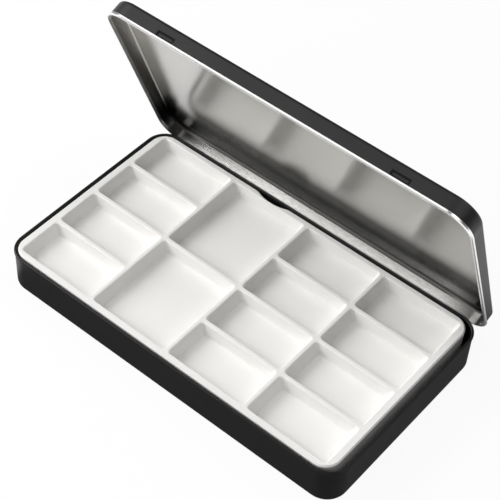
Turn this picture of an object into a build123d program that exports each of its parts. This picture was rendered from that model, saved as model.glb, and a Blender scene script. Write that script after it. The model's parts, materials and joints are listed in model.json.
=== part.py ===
from build123d import *
import os
from math import atan, degrees, radians, tan

# Travel watercolor palette: a hinged drawn tin with a lift-out moulded tray.
# X runs along the tin, +Y to the hinges at its back, +Z up. The origin is the middle of its underside.

# Base tin, in mm
tin_length = 210.0
tin_width = 119.4
base_height = 23.0
sheet = 0.35
rim_roll = 1.6
rim_stand_out = 0.4
bead_sides = 12
rim_corner_radius = 12.0
floor_radius = 2.0

# Lid tin
lid_clearance = 0.65
lid_headroom = 1.65
skirt_depth = 8.0
fold_radius = 1.8
hem_width = 1.1
hem_height = 1.8
hem_bevel = 0.45
snap_spacing = 136.0
snap_length = 9.5
snap_height = 2.4
snap_depth = 0.3
snap_above_hem = 0.15
lid_open_angle = 69.6

# Hinges
hinge_spacing = 124.0
hinge_width = 18.0
hinge_sheet = 0.4
lid_knuckle_width = 8.4
knuckle_gap = 0.3
pin_diameter = 1.0
pin_clearance = 0.05
knuckle_standoff = 0.3
axis_above_lid_rim = 0.3
base_leaf_drop = 9.5
lid_leaf_rise = 4.6
leaf_corner_cut = 1.2
hem_notch_clearance = 0.8

# Palette tray
tray_end_gap = 2.2
tray_side_gap = 0.8
tray_corner_gap = 2.4
tray_shift = -1.3
tray_proud = 0.2
tray_wall = 1.5
tray_foot_clearance = 0.3
tray_edge_bevel = 0.7
end_border = 4.3
side_border = 3.4
ridge = 2.4
well_columns = 4
well_rows = 4
columns_before_large = 1
large_well_rows = 2
well_depth = 7.0
well_end_draft = 22.0
well_side_draft = 8.0
well_corner_radius = 2.0
well_floor_corner_radius = 1.4
well_edge_bevel = 0.4
scallop_width = 20.0
scallop_depth = 2.2

# The rolled rim stands out a little beyond the base's wall, and the rest of it lies inside
pan_length = tin_length - 2 * rim_stand_out
pan_width = tin_width - 2 * rim_stand_out
pan_corner_radius = rim_corner_radius - rim_stand_out
roll_radius = rim_roll / 2

# The closed lid clears the rolled rim all round
mouth_length = tin_length + 2 * lid_clearance
mouth_width = tin_width + 2 * lid_clearance
mouth_corner_radius = rim_corner_radius + lid_clearance
lid_top = base_height + lid_headroom + sheet
lid_rim = lid_top - skirt_depth

# The hinge axis lies behind the lid's back skirt, level with its rim
bore_radius = pin_diameter / 2 + pin_clearance
knuckle_radius = bore_radius + hinge_sheet
axis_y = mouth_width / 2 + sheet + knuckle_standoff + knuckle_radius
axis_z = lid_rim + axis_above_lid_rim

# The tray stands on the base's floor, inside the rolled rim
tray_length = tin_length - 2 * (rim_roll + tray_end_gap)
tray_width = tin_width - 2 * (rim_roll + tray_side_gap)
tray_corner_radius = rim_corner_radius - rim_roll - (tray_corner_gap - tray_side_gap)
tray_top = base_height + tray_proud
tray_foot_width = pan_width - 2 * (floor_radius + tray_foot_clearance)
tray_draft = degrees(atan((tray_width - tray_foot_width) / 2 / (tray_top - sheet)))
well_length = (tray_length - 2 * end_border - (well_columns - 1) * ridge) / well_columns
well_width = (tray_width - 2 * side_border - (well_rows - 1) * ridge) / well_rows


def slab(length, width, radius, low, high):
    """A rounded rectangular block about the origin, from height low to height high."""
    return extrude(Pos(0, 0, low) * RectangleRounded(length, width, radius), high - low)


def edges_at(solid, height):
    """The edges that lie flat at one height."""
    return solid.edges().filter_by_position(Axis.Z, height - 0.001, height + 0.001)


def rolled_rim():
    """The sheet rolled over the wire that stiffens the base's rim, as one bead round the mouth."""
    bead = RegularPolygon(roll_radius, bead_sides, major_radius=False, rotation=180 / bead_sides)
    path = Pos(0, 0, base_height - roll_radius) * RectangleRounded(
        tin_length - rim_roll, tin_width - rim_roll, rim_corner_radius - roll_radius
    ).wire()
    place = Plane(
        origin=(0, (tin_width - rim_roll) / 2, base_height - roll_radius), x_dir=(0, 1, 0), z_dir=(1, 0, 0)
    )
    return sweep(place * bead, path=path)


def base_tin():
    """A drawn pan with a rounded floor edge, plainly bevelled inside, and a rolled rim."""
    wall_top = base_height - roll_radius
    outside = slab(pan_length, pan_width, pan_corner_radius, 0, wall_top)
    outside = fillet(edges_at(outside, 0), floor_radius)
    inside = slab(pan_length - 2 * sheet, pan_width - 2 * sheet, pan_corner_radius - sheet, sheet, wall_top)
    inside = chamfer(edges_at(inside, sheet), floor_radius - 2 * sheet)
    return outside - inside + rolled_rim()


def hem():
    """The lid's edge folded outwards into a rounded band round its mouth."""
    band = slab(
        mouth_length + 2 * hem_width, mouth_width + 2 * hem_width, mouth_corner_radius + hem_width,
        lid_rim, lid_rim + hem_height
    )
    band = chamfer(edges_at(band, lid_rim) + edges_at(band, lid_rim + hem_height), hem_bevel)
    return band


def snap(side):
    """A shallow pressed mark in the front skirt: a recess outside and its bump inside."""
    face_y = -(mouth_width / 2 + sheet)
    height = lid_rim + hem_height + snap_above_hem + snap_height / 2
    place = Plane(origin=(side * snap_spacing / 2, face_y, height), x_dir=(1, 0, 0), z_dir=(0, 1, 0))
    mark = RectangleRounded(snap_length, snap_height, snap_height / 4)
    recess = extrude(place * mark, snap_depth)
    inner = RectangleRounded(snap_length + 2 * sheet, snap_height + 2 * sheet, snap_height / 4 + sheet)
    bump = extrude(place.offset(sheet) * inner, snap_depth)
    return recess, bump


def lid_tin():
    """A shallow drawn lid, closed, with its hem cut back where the hinges sit."""
    outer_length = mouth_length + 2 * sheet
    outer_width = mouth_width + 2 * sheet
    outside = slab(outer_length, outer_width, mouth_corner_radius + sheet, lid_rim, lid_top)
    outside = fillet(edges_at(outside, lid_top), fold_radius)
    cut_width = hinge_width + 2 * hem_notch_clearance
    notch = Box(cut_width, 2 * hem_width, 2 * hem_height)
    band = hem()
    for side in (-1, 1):
        band -= Pos(side * hinge_spacing / 2, outer_width / 2 + hem_width, lid_rim) * notch
    shell = outside + band
    inside = slab(mouth_length, mouth_width, mouth_corner_radius, lid_rim, lid_top - sheet)
    inside = fillet(edges_at(inside, lid_top - sheet), fold_radius - sheet)
    shell -= inside
    for side in (-1, 1):
        recess, bump = snap(side)
        shell = shell + bump - recess
    return shell


def knuckle(width):
    """A rolled knuckle along X, about the hinge axis, centred on X = 0."""
    across = Plane(origin=(-width / 2, axis_y, axis_z), x_dir=(0, 1, 0), z_dir=(1, 0, 0))
    return extrude(across * Circle(knuckle_radius), width)


def bore(solid):
    """The solid with the pin's bore through it."""
    across = Plane(origin=(-hinge_width, axis_y, axis_z), x_dir=(0, 1, 0), z_dir=(1, 0, 0))
    return solid - extrude(across * Circle(bore_radius), 2 * hinge_width)


def base_hinge_leaf():
    """A leaf on the back wall that turns out under the lid's rim to two end knuckles."""
    wall_y = pan_width / 2
    strap_low = axis_z - knuckle_radius
    strap_top = strap_low + hinge_sheet
    plate = Box(hinge_width, hinge_sheet, base_leaf_drop, align=(Align.CENTER, Align.MIN, Align.MAX))
    leaf = Pos(0, wall_y, strap_top) * plate
    corners = leaf.edges().filter_by(Axis.Y).sort_by(Axis.Z)[:2]
    leaf = chamfer(corners, leaf_corner_cut)
    strap = Box(
        hinge_width, axis_y - wall_y, hinge_sheet, align=(Align.CENTER, Align.MIN, Align.MIN)
    )
    leaf += Pos(0, wall_y, strap_low) * strap
    middle = lid_knuckle_width + 2 * knuckle_gap
    relief = Box(middle, 4 * knuckle_radius, 4 * knuckle_radius)
    leaf -= Pos(0, axis_y + knuckle_radius - knuckle_gap, axis_z) * relief
    end_width = (hinge_width - middle) / 2
    for side in (-1, 1):
        leaf += Pos(side * (middle + end_width) / 2, 0, 0) * knuckle(end_width)
    return bore(leaf)


def lid_hinge_leaf():
    """A leaf on the lid's back skirt, closed, that narrows to the middle knuckle."""
    skirt_y = mouth_width / 2 + sheet
    shoulder = axis_z + knuckle_radius + knuckle_gap
    plate = Box(hinge_width, hinge_sheet, lid_leaf_rise, align=(Align.CENTER, Align.MIN, Align.MIN))
    leaf = Pos(0, skirt_y, shoulder) * plate
    corners = leaf.edges().filter_by(Axis.Y).sort_by(Axis.Z)[-2:]
    leaf = chamfer(corners, leaf_corner_cut)
    neck = Box(
        lid_knuckle_width, hinge_sheet, shoulder - axis_z, align=(Align.CENTER, Align.MIN, Align.MIN)
    )
    leaf += Pos(0, skirt_y, axis_z) * neck
    bridge = Box(
        lid_knuckle_width, axis_y - skirt_y, hinge_sheet, align=(Align.CENTER, Align.MIN, Align.MAX)
    )
    leaf += Pos(0, skirt_y, axis_z + knuckle_radius) * bridge
    return bore(leaf + knuckle(lid_knuckle_width))


def hinge_pin():
    """A plain wire pin as long as the hinge."""
    across = Plane(origin=(-hinge_width / 2, axis_y, axis_z), x_dir=(0, 1, 0), z_dir=(1, 0, 0))
    return extrude(across * Circle(pin_diameter / 2), hinge_width)


def well_centres():
    """Each well's middle, its column and how many rows deep it is."""
    wells = []
    for column in range(well_columns):
        x = (column - (well_columns - 1) / 2) * (well_length + ridge)
        span = large_well_rows if column == columns_before_large else 1
        pitch = span * (well_width + ridge)
        count = well_rows // span
        for row in range(count):
            y = ((count - 1) / 2 - row) * pitch
            wells.append((x, y, pitch - ridge))
    return wells


def well_size(width, depth):
    """A well's length and width at one depth: its ends slope more than its sides."""
    length_in = 2 * depth * tan(radians(well_end_draft))
    width_in = 2 * depth * tan(radians(well_side_draft))
    return well_length - length_in, width - width_in


def well(width):
    """A pocket with rounded corners and a bevelled mouth."""
    mouth = 2 * well_edge_bevel
    steps = [(0, mouth, well_corner_radius), (well_edge_bevel, 0, well_corner_radius)]
    steps.append((well_depth, 0, well_floor_corner_radius))
    sections = []
    for depth, wider, radius in steps:
        across, along = well_size(width, depth)
        sections.append(Pos(0, 0, tray_top - depth) * RectangleRounded(across + wider, along + wider, radius))
    return loft(sections, ruled=True)


def well_underside(width):
    """What a well takes from the hollow below the tray: its outside, one wall thicker all round."""
    sections = []
    for depth in (0, well_depth + tray_wall):
        across, along = well_size(width, depth)
        sections.append(Pos(0, 0, tray_top - depth) * Rectangle(across + 2 * tray_wall, along + 2 * tray_wall))
    return loft(sections, ruled=True)


def palette_tray():
    """A thin moulding: a top with fourteen drafted wells and a skirt down to the base's floor."""
    outline = RectangleRounded(tray_length, tray_width, tray_corner_radius)
    body = extrude(Pos(0, 0, tray_top) * outline, sheet - tray_top, taper=tray_draft)
    second_column = (columns_before_large - (well_columns - 1) / 2) * (well_length + ridge)
    half_chord = scallop_width / 2
    scallop_radius = (half_chord ** 2 + scallop_depth ** 2) / (2 * scallop_depth)
    scallop_y = tray_width / 2 - scallop_depth + scallop_radius
    scallop = Pos(second_column, scallop_y, 0)
    tall = 2 * base_height
    body -= scallop * Cylinder(scallop_radius, 2 * tall)
    body = chamfer(edges_at(body, tray_top), tray_edge_bevel)
    under_top = tray_top - tray_wall
    wall_in = 2 * (tray_wall + tray_wall * tan(radians(tray_draft)))
    room = RectangleRounded(tray_length - wall_in, tray_width - wall_in, tray_corner_radius - wall_in / 2)
    hollow = extrude(Pos(0, 0, under_top) * room, sheet - under_top, taper=tray_draft)
    hollow -= scallop * Cylinder(scallop_radius + tray_wall, 2 * tall)
    wells = well_centres()
    for x, y, width in wells:
        hollow -= Pos(x, y, 0) * well_underside(width)
    body -= hollow
    for x, y, width in wells:
        body -= Pos(x, y, 0) * well(width)
    return Pos(tray_shift, 0, 0) * body


def opened(solid):
    """A lid piece turned about the hinge axis to the angle of the photograph."""
    return solid.rotate(Axis((0, axis_y, axis_z), (-1, 0, 0)), lid_open_angle)


def save(name, shape):
    """Write one node."""
    shape.label = name
    export_step(shape, f"parts/{name}.step")


os.makedirs("parts", exist_ok=True)
save("base_tin", base_tin())
save("lid_tin", opened(lid_tin()))
save("palette_tray", palette_tray())
for name, side in (("left", -1), ("right", 1)):
    beside = Pos(side * hinge_spacing / 2, 0, 0)
    save(f"{name}_base_hinge_leaf", beside * base_hinge_leaf())
    save(f"{name}_lid_hinge_leaf", opened(beside * lid_hinge_leaf()))
    save(f"{name}_hinge_pin", beside * hinge_pin())
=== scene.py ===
import json
import math

import bmesh
import bpy
from mathutils import Matrix, Vector


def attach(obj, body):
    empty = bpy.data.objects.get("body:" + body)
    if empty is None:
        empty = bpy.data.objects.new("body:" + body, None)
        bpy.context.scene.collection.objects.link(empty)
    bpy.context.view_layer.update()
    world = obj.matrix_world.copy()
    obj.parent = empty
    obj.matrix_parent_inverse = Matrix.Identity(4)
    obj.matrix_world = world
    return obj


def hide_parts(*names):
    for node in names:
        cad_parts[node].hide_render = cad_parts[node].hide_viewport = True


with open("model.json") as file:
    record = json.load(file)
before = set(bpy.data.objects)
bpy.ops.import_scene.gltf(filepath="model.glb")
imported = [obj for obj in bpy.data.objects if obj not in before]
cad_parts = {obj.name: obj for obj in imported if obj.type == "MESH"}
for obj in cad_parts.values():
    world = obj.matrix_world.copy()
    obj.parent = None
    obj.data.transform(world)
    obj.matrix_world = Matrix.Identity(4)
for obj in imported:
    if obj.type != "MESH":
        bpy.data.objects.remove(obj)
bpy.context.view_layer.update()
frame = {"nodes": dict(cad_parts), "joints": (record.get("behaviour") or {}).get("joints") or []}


# Palette tray
# One thin injection moulding in white plastic: fourteen drafted wells, a rim round them and a skirt that
# stands loose in the base. Its faces come off a polished mould, with a soft sheen and very slight sinks.

class Field:
    """A shader socket that takes part in Python arithmetic."""

    tree = None

    def __init__(self, socket):
        self.socket = socket

    @classmethod
    def node(cls, kind, settings=None, **sockets):
        """Adds a node, applies its settings and fills its input sockets with values or links."""
        made = cls.tree.nodes.new(kind)
        for name, value in (settings or {}).items():
            if name == "stops":
                ramp = made.color_ramp
                while len(ramp.elements) < len(value):
                    ramp.elements.new(1.0)
                for element, (position, colour) in zip(ramp.elements, value):
                    element.position = position
                    element.color = colour
            else:
                setattr(made, name, value)
        for name, value in sockets.items():
            key = int(name[1:]) if name[0] == "i" and name[1:].isdigit() else name.replace("_", " ")
            if isinstance(value, Field):
                cls.tree.links.new(value.socket, made.inputs[key])
            else:
                made.inputs[key].default_value = value
        return made

    @classmethod
    def maths(cls, operation, *values):
        """One Math node on values or fields."""
        sockets = {f"i{index}": value for index, value in enumerate(values)}
        made = cls.node("ShaderNodeMath", {"operation": operation}, **sockets)
        return Field(made.outputs[0])

    def __add__(self, other):
        return Field.maths("ADD", self, other)

    def __radd__(self, other):
        return Field.maths("ADD", other, self)

    def __sub__(self, other):
        return Field.maths("SUBTRACT", self, other)

    def __rsub__(self, other):
        return Field.maths("SUBTRACT", other, self)

    def __mul__(self, other):
        return Field.maths("MULTIPLY", self, other)

    def __rmul__(self, other):
        return Field.maths("MULTIPLY", other, self)

    def __abs__(self):
        return Field.maths("ABSOLUTE", self)

    def below(self, limit, soft):
        """1 where this is under the limit, 0 where it is over it, with a soft step between."""
        made = Field.node(
            "ShaderNodeMapRange",
            {"interpolation_type": "SMOOTHSTEP"},
            Value=self, From_Min=limit - soft, From_Max=limit + soft, To_Min=1.0, To_Max=0.0,
        )
        return Field(made.outputs[0])


def new_finish(name):
    """An empty material with its Principled shader, ready for fields."""
    finish = bpy.data.materials.new(name)
    finish.use_nodes = True
    Field.tree = finish.node_tree
    finish.node_tree.nodes.clear()
    shader = Field.node("ShaderNodeBsdfPrincipled")
    surface = Field.node("ShaderNodeOutputMaterial")
    finish.node_tree.links.new(shader.outputs[0], surface.inputs[0])
    return finish, shader


def feed(shader, **sockets):
    """Sets or links a shader's sockets by name."""
    for name, value in sockets.items():
        socket = shader.inputs[name.replace("_", " ")]
        if isinstance(value, Field):
            Field.tree.links.new(value.socket, socket)
        else:
            socket.default_value = value


def place(settings=None, **sockets):
    """Object coordinates through a Mapping node."""
    point = Field(Field.node("ShaderNodeTexCoord").outputs["Object"])
    return Field(Field.node("ShaderNodeMapping", settings, Vector=point, **sockets).outputs[0])


def clouds(vector, scale, detail=2.0, roughness=0.5):
    """Smooth noise from 0 to 1."""
    made = Field.node(
        "ShaderNodeTexNoise", None, Vector=vector, Scale=scale, Detail=detail, Roughness=roughness
    )
    return Field(made.outputs[0])


def blended(factor, first, second):
    """One colour turning into another by a factor."""
    made = Field.node("ShaderNodeMix", {"data_type": "RGBA"}, i0=factor, i6=first, i7=second)
    return Field(made.outputs[2])


def relief(height, distance, strength=1.0):
    """A bump from a height field, as deep as distance in metres."""
    made = Field.node("ShaderNodeBump", None, Height=height, Distance=distance, Strength=strength)
    return Field(made.outputs[0])


def dress(node, finish):
    """Puts a finish on every material slot of a CAD node."""
    piece = frame["nodes"][node]
    for held in piece.material_slots:
        held.link = "OBJECT"
        held.material = finish


moulding, shader = new_finish("white_moulding")
at = place()
mottle = clouds(at, 45.0, 3.0)
sinks = clouds(at, 18.0, 1.0)
grain = clouds(at, 900.0, 2.0)
feed(
    shader,
    Base_Color=blended(mottle, (0.83, 0.82, 0.80, 1.0), (0.88, 0.872, 0.855, 1.0)),
    Roughness=0.36 + 0.1 * mottle,
    Normal=relief(sinks + 0.05 * grain, 0.0004, 0.25),
)
feed(shader, IOR=1.5)
dress("palette_tray", moulding)


# Base tin
# A pan drawn from tinplate and enamelled satin black all over, its rim rolled over a stiffening wire. The
# enamel has a faint orange-peel skin and is a little duller in soft patches, as from handling.

enamel, shader = new_finish("black_enamel")
at = place()
peel = clouds(at, 1400.0, 2.0)
rub = clouds(at, 60.0, 4.0)
feed(
    shader,
    Base_Color=blended(rub, (0.006, 0.006, 0.006, 1.0), (0.011, 0.0105, 0.0105, 1.0)),
    Roughness=0.34 + 0.1 * rub,
    Normal=relief(peel, 0.00002, 0.5),
)
feed(shader, IOR=1.5, Specular_IOR_Level=0.25)
dress("base_tin", enamel)


# Lid tin
# A shallow pan drawn from the same tinplate, deeper in front than at the hinges and enamelled black
# outside only. Inside it is bare bright metal with a satin rolling grain, and its edge is folded out into
# a rounded bright hem.

lid_joint = next(joint for joint in frame["joints"] if joint["name"] == "lid_hinge")
hinge_axis = Vector(lid_joint["pos_m"])
open_angle = math.radians(-lid_joint["range_deg"][0])
turn_back = Matrix.Rotation(open_angle, 3, "X")
mouth_half_length = 0.10565
mouth_half_width = 0.06035
mouth_corner = 0.01265
sheet = 0.00035
lid_top = 0.025
lid_rim = 0.017
hem_top = lid_rim + 0.0018
fold_radius = 0.0018
snap_out = 0.068
snap_half_length = 0.00475
snap_half_height = 0.0012
snap_middle = 0.02015
snap_depth = 0.0003
extra_front_depth = 0.0021
stretch_below = 0.0228


def drawn_deeper(piece):
    """A copy of the lid's mesh, its skirt drawn deeper: fully in front and not at all at the hinges."""
    data = piece.data.copy()
    normals = [corner.vector.copy() for corner in data.corner_normals]
    mesh = bmesh.new()
    mesh.from_mesh(data)
    kept_normal = mesh.loops.layers.float_vector.new("kept_normal")
    for face in mesh.faces:
        for loop in face.loops:
            loop[kept_normal] = normals[loop.index]
    bmesh.ops.remove_doubles(mesh, verts=mesh.verts, dist=0.000001)
    rim_way = turn_back.transposed() @ Vector((0.0, 0.0, -1.0))
    for vertex in mesh.verts:
        shut_point = hinge_axis + turn_back @ (vertex.co - hinge_axis)
        if shut_point.z < stretch_below:
            share = min(max(0.5 - 0.5 * shut_point.y / mouth_half_width, 0.0), 1.0)
            vertex.co += rim_way * extra_front_depth * share
    mesh.to_mesh(data)
    mesh.free()
    normals = [Vector(corner.vector) for corner in data.attributes["kept_normal"].data]
    data.attributes.remove(data.attributes["kept_normal"])
    data.normals_split_custom_set(normals)
    return data


drawn_lid = bpy.data.objects.new("drawn_lid", drawn_deeper(frame["nodes"]["lid_tin"]))
bpy.context.scene.collection.objects.link(drawn_lid)
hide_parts("lid_tin")
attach(drawn_lid, "lid")


def farther(first, second):
    """The larger of two fields or values."""
    return Field.maths("MAXIMUM", first, second)


def diagonal(first, second):
    """The length of a step that goes first one way and second across it."""
    return Field.maths("SQRT", first * first + second * second)


# Every mask is laid out on the shut lid: along its length, across it and up from the base's underside.
lidware, shader = new_finish("lid_enamel_and_bare_tin")
shut = place(
    {"vector_type": "POINT"},
    Location=hinge_axis - turn_back @ hinge_axis,
    Rotation=(open_angle, 0.0, 0.0),
)
parts = Field.node("ShaderNodeSeparateXYZ", None, Vector=shut)
along, across, height = (Field(parts.outputs[index]) for index in range(3))

# The middle of the sheet parts the bare inside from the enamelled outside, all round the fold.
corner_x = farther(abs(along) - (mouth_half_length - mouth_corner), 0.0)
corner_y = farther(abs(across) - (mouth_half_width - mouth_corner), 0.0)
beyond = diagonal(corner_x, corner_y) - mouth_corner
side_out = farther(beyond - sheet / 2 + fold_radius, 0.0)
top_out = farther(height - (lid_top - sheet / 2) + fold_radius, 0.0)
past_middle = diagonal(side_out, top_out) - fold_radius

# The snap marks are pressed into the front skirt, above the hem that the deeper skirt lowers there.
front = across.below(0.0, 0.0001)
rim_height = height + (0.5 * extra_front_depth - across * (0.5 * extra_front_depth / mouth_half_width))
from_snap = farther(
    abs(abs(along) - snap_out) - snap_half_length, abs(rim_height - snap_middle) - snap_half_height
)
snap = from_snap.below(0.0004, 0.0001) * front
snap_edge = from_snap.below(0.0005, 0.00015) * (1.0 - from_snap.below(-0.0004, 0.00015)) * front
inside = (past_middle + snap_depth * snap).below(0.0, 0.00003)
hem = rim_height.below(hem_top - 0.00002, 0.00002)
bare = farther(inside, hem)

# The grain of the rolled sheet runs along the lid, and its back wall is brushed more coarsely.
peel = clouds(shut, 1400.0, 2.0)
rub = clouds(shut, 60.0, 4.0)
stretched = Field(Field.node("ShaderNodeMapping", None, Vector=shut, Scale=(0.03, 1.0, 1.0)).outputs[0])
rolled = clouds(stretched, 5000.0, 3.0, 0.7)
drawn_out = Field(Field.node("ShaderNodeMapping", None, Vector=shut, Scale=(0.15, 1.0, 1.0)).outputs[0])
brushed = clouds(drawn_out, 2200.0, 2.0, 0.6)
waves = clouds(shut, 14.0, 1.0)

# The bare metal is painted darker by the hinges, along the fold and in the corners, as a painted
# reflection of the dim room and painted shade.
wall = height.below(lid_top - 0.0012, 0.0006)
back_wall = wall * (1.0 - across.below(mouth_half_width - 0.004, 0.003))
end_wall = wall * (1.0 - abs(along).below(mouth_half_length - 0.006, 0.004)) * (1.0 - back_wall)
hingeward = 1.0 - across.below(0.02, 0.045)
panel = 1.0 - wall
foot = (0.0 - beyond).below(0.012, 0.010) * hingeward * panel
fold_band = (0.0 - beyond).below(0.0055, 0.002) * hingeward * panel
from_corner_x = farther(mouth_half_length - abs(along), 0.0)
from_corner_y = farther(mouth_half_width - across, 0.0)
corner = diagonal(from_corner_x, from_corner_y).below(0.019, 0.012)
in_fold = (0.0 - Field.maths("MINIMUM", side_out, top_out)).below(-0.0001, 0.0001)
back_fold = in_fold * (1.0 - across.below(mouth_half_width - 0.006, 0.003))
wallward = height.below(lid_top - 0.0009, 0.0004)
back_hem = 1.0 - across.below(mouth_half_width - 0.006, 0.004)

painted_shade_metal = (0.10, 0.098, 0.094, 1.0)
black = blended(rub, (0.008, 0.0076, 0.0076, 1.0), (0.014, 0.0133, 0.0133, 1.0))
# The snap marks' outlines are painted near black, as painted shade in their grooves.
black = blended(snap_edge, black, (0.002, 0.002, 0.002, 1.0))
metal = blended(rolled, (0.49, 0.482, 0.465, 1.0), (0.59, 0.582, 0.562, 1.0))
# Painted reflection and shade: darker at the panel's foot, along the fold, on the end walls towards the
# hinges and in the corners.
metal = blended(foot, metal, (0.20, 0.197, 0.19, 1.0))
metal = blended(fold_band, metal, (0.42, 0.413, 0.40, 1.0))
metal = blended(end_wall, metal, blended(hingeward, (0.58, 0.567, 0.54, 1.0), painted_shade_metal))
metal = blended(corner, metal, (0.03, 0.029, 0.028, 1.0))
# The back wall has a coarse brushed grain, and is also painted lighter than the rest of the metal as a
# painted highlight; its corners take the painted shade.
back_metal = blended(brushed, (0.50, 0.494, 0.486, 1.0), (1.0, 0.99, 0.97, 1.0))
metal = blended(back_wall, metal, blended(corner, back_metal, painted_shade_metal))
# The hem is painted near white in front as a painted highlight; at the back it keeps the plain metal's
# tone, and its back corners take the painted shade.
hem_metal = blended(back_hem, (0.97, 0.97, 0.96, 1.0), (0.50, 0.495, 0.485, 1.0))
metal = blended(hem, metal, blended(back_hem * corner, hem_metal, painted_shade_metal))
# The fold along the back is painted dark, darkest on its wall side, as painted shade in the crease.
fold_metal = blended(wallward, (0.36, 0.354, 0.344, 1.0), (0.09, 0.088, 0.086, 1.0))
metal = blended(back_fold * (1.0 - corner), metal, fold_metal)

# The real walls lean out a little, as drawn walls do, so the bump tilts the light on the upright ones.
lean = 340.0
flare = farther(lid_top - fold_radius - height, 0.0) * inside
enamelled = (1.0 - bare) * (0.36 + 0.1 * rub + 0.5 * snap_edge)
enamel_skin = (1.0 - bare) * (peel * 0.02 - snap_edge)
metal_skin = bare * (rolled * 0.004 + waves * 0.4)
feed(
    shader,
    Base_Color=blended(bare, black, metal),
    Metallic=bare,
    Roughness=enamelled + bare * (0.13 + 0.1 * rolled + 0.04 * hem + 0.45 * back_fold),
    Normal=relief(enamel_skin + metal_skin - flare * lean, 0.0005, 1.0),
)
feed(shader, IOR=1.5, Specular_IOR_Level=0.4)
drawn_lid.data.materials.clear()
drawn_lid.data.materials.append(lidware)


# Hinges
# Two small hinges pressed from bare tinplate, each a base leaf and a lid leaf with rolled knuckles on a
# wire pin. The leaves are fixed flat against the back walls of the base and the lid.

tinplate, shader = new_finish("hinge_tinplate")
at = place()
rolled = clouds(at, 3000.0, 3.0)
feed(
    shader,
    Base_Color=blended(rolled, (0.42, 0.41, 0.40, 1.0), (0.56, 0.55, 0.53, 1.0)),
    Metallic=1.0,
    Roughness=0.3 + 0.12 * rolled,
    Normal=relief(rolled, 0.00001, 0.6),
)
for side in ("left", "right"):
    for part in ("base_hinge_leaf", "lid_hinge_leaf", "hinge_pin"):
        dress(f"{side}_{part}", tinplate)


# Studio
# A seamless white sweep under plain soft lamps, with the dim room beyond them. The sweep is one-sided and
# lies a hair below the tin, so that the tin's underside shows from below.

floor_half_width = 4.0
floor_drop = 0.00005
tin_half_length = 0.105
tin_half_width = 0.06
left_end = -0.107
white = (1.0, 1.0, 1.0, 1.0)

floor_mesh = bmesh.new()
bmesh.ops.create_grid(floor_mesh, x_segments=1, y_segments=1, size=floor_half_width)
floor_data = bpy.data.meshes.new("floor")
floor_mesh.to_mesh(floor_data)
floor_mesh.free()
floor = bpy.data.objects.new("floor", floor_data)
bpy.context.scene.collection.objects.link(floor)
floor.location.z = -floor_drop
paper, shader = new_finish("white_paper")
feed(shader, Base_Color=(0.9, 0.9, 0.9, 1.0), Roughness=0.9)

# Mirrors see the paper as plain white, but with a painted shadow close beside the tin, where its own
# shade lies.
spread = Field.node("ShaderNodeSeparateXYZ", None, Vector=place())
sideways, depth = Field(spread.outputs[0]), Field(spread.outputs[1])
off_end = farther(abs(sideways) - tin_half_length, 0.0) * 0.6
off_front = farther(-tin_half_width - depth, 0.0) * 0.45
off_back = farther(depth - tin_half_width, 0.0)
beside = diagonal(off_end, off_front + off_back).below(0.035, 0.02)
shade = beside * (1.0 - sideways.below(left_end, 0.004))

# The camera sees almost pure white, with the lit paper mixed in so that a faint shadow stays.
path = Field.node("ShaderNodeLightPath")
camera_ray = Field(path.outputs["Is Camera Ray"])
glossy_ray = Field(path.outputs["Is Glossy Ray"])
through_ray = Field(path.outputs["Is Transmission Ray"])
seen = farther(0.92 * camera_ray, farther(glossy_ray, through_ray))
# Glossy rays see the painted shadow beside the tin.
whiteness = blended(shade * glossy_ray, white, (0.2, 0.2, 0.2, 1.0))
glow = Field.node("ShaderNodeEmission", None, Color=whiteness, Strength=1.0)
upper = Field.node(
    "ShaderNodeMixShader", None, i0=seen, i1=Field(shader.outputs[0]), i2=Field(glow.outputs[0])
)
underneath = Field(Field.node("ShaderNodeNewGeometry").outputs["Backfacing"])
clear = Field.node("ShaderNodeBsdfTransparent")
one_sided = Field.node(
    "ShaderNodeMixShader", None, i0=underneath, i1=Field(upper.outputs[0]), i2=Field(clear.outputs[0])
)
surface = next(node for node in Field.tree.nodes if node.bl_idname == "ShaderNodeOutputMaterial")
Field.tree.links.new(one_sided.outputs[0], surface.inputs[0])
floor_data.materials.append(paper)

# The room is dim in mirrors, as the lid's inside shows it, and white to the camera.
world = bpy.data.worlds.new("room")
bpy.context.scene.world = world
world.use_nodes = True
Field.tree = world.node_tree
Field.tree.nodes.clear()
direction = Field.node("ShaderNodeTexCoord")
looking = Field(direction.outputs["Generated"])
up = Field(Field.node("ShaderNodeSeparateXYZ", None, Vector=looking).outputs[2])
sky = Field.node(
    "ShaderNodeValToRGB",
    {
        "stops": [
            (0.0, (0.3, 0.3, 0.3, 1.0)),
            (0.5, (0.07, 0.07, 0.07, 1.0)),
            (1.0, (0.06, 0.06, 0.06, 1.0)),
        ]
    },
    Fac=up,
)
sky_seen = Field(Field.node("ShaderNodeLightPath").outputs["Is Camera Ray"])
room = blended(sky_seen, Field(sky.outputs[0]), white)
back = Field.node("ShaderNodeBackground", None, Color=room, Strength=1.0)
sky_out = Field.node("ShaderNodeOutputWorld")
Field.tree.links.new(back.outputs[0], sky_out.inputs[0])


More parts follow.
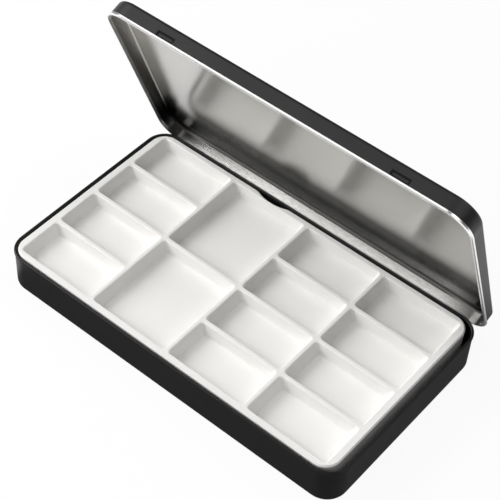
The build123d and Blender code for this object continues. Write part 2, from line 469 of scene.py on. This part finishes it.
def lamp(name, size, power, spot, aim=(0.0, 0.0, 0.0)):
    """A soft rectangular lamp at a spot, turned to an aim."""
    data = bpy.data.lights.new(name, "AREA")
    data.shape = "RECTANGLE"
    data.size = size[0]
    data.size_y = size[1]
    data.energy = power
    made = bpy.data.objects.new(name, data)
    bpy.context.scene.collection.objects.link(made)
    made.location = spot
    made.rotation_euler = (Vector(aim) - Vector(spot)).to_track_quat("-Z", "Y").to_euler()


lamp("key_lamp", size=(0.9, 0.9), power=20.5, spot=(-1.16, -0.48, 0.83))
lamp("front_lamp", size=(0.9, 0.75), power=5.5, spot=(0.08, -1.28, 1.02))
lamp("top_lamp", size=(1.0, 0.7), power=2.6, spot=(-0.50, -0.22, 1.1), aim=(-0.50, -0.22, 0.0))
lamp("back_lamp", size=(1.0, 0.9), power=5.0, spot=(0.50, 0.42, 1.1))


# Camera
# It stands in front of the tin, to its right, and looks down on it. Its lens, place and slight roll are
# those that bring the tin's straight edges where the photograph has them.

azimuth = math.radians(37.156)
elevation = math.radians(48.268)
roll = math.radians(3.561)
aim = Vector((-0.01955, 0.03159, 0.010))
distance = 0.7974
focal_pixels = 1542.8
picture_pixels = 500.0

camera_data = bpy.data.cameras.new("camera")
camera_data.sensor_width = 36.0
camera_data.lens = focal_pixels / picture_pixels * camera_data.sensor_width
camera = bpy.data.objects.new("camera", camera_data)
bpy.context.scene.collection.objects.link(camera)
outward = Vector((
    math.sin(azimuth) * math.cos(elevation), -math.cos(azimuth) * math.cos(elevation), math.sin(elevation)
))
level_right = (-outward).cross(Vector((0.0, 0.0, 1.0))).normalized()
level_up = level_right.cross(-outward)
right = level_right * math.cos(roll) + level_up * math.sin(roll)
above = level_up * math.cos(roll) - level_right * math.sin(roll)
turned = Matrix((right, above, outward)).transposed().to_4x4()
camera.matrix_world = Matrix.Translation(aim + outward * distance) @ turned
camera_data.clip_start = 0.05
camera_data.clip_end = 20.0
bpy.context.scene.camera = camera
bpy.context.scene.view_settings.view_transform = "Standard"
